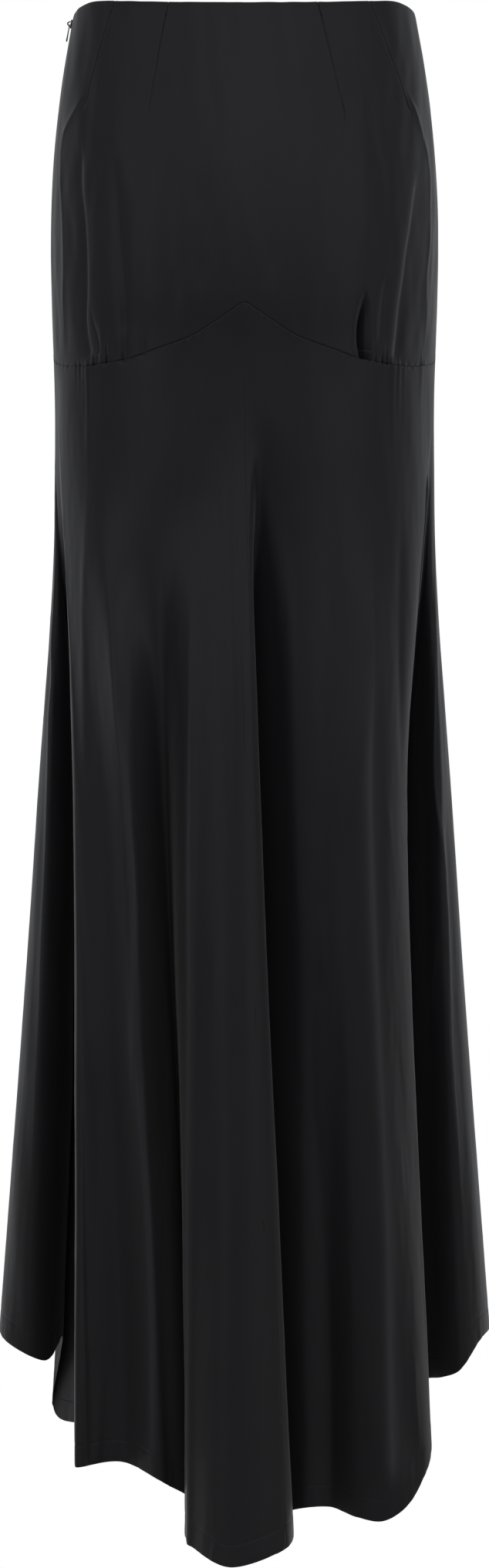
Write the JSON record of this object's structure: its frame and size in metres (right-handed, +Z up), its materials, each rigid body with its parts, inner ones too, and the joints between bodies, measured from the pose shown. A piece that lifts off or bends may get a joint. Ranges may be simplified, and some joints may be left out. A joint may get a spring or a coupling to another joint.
{
  "type": "maxi skirt with a train",
  "caption": "Long black satin skirt with a darted hip yoke, a pointed hip seam and a flared back cut longer as a train; concealed side zip with a hinged pull tab.",
  "frame": {"origin": "middle of the waist edge at the level of the side seams, where the wearer's waist holds the skirt", "axes": "+Z up, out of the waist opening; the wearer faces +Y, so the back and its train are towards -Y; -X is the wearer's left side, with the zip"},
  "size_m": [0.432, 0.4122, 1.3289],
  "materials": {
    "satin": "black satin-backed crepe, fine smooth weave with a soft sheen",
    "zip_tape": "black woven zip tape with a closed concealed coil",
    "zip_metal": "black lacquered zip slider and pull tab"
  },
  "bodies": {
    "skirt": {"yoke_back": "satin", "yoke_front": "satin", "skirt_back_left": "satin", "skirt_back_right": "satin", "skirt_front": "satin", "zip_tape": "zip_tape", "zip_slider": "zip_metal"},
    "pull_tab": {"zip_pull": "zip_metal"}
  },
  "joints": [
    {"name": "pull_tab_hinge", "type": "hinge", "parent": "skirt", "child": "pull_tab", "pos_m": [-0.15423, 0, -0.00704], "axis": [0, 1, 0], "range_deg": [0, 165]}
  ]
}
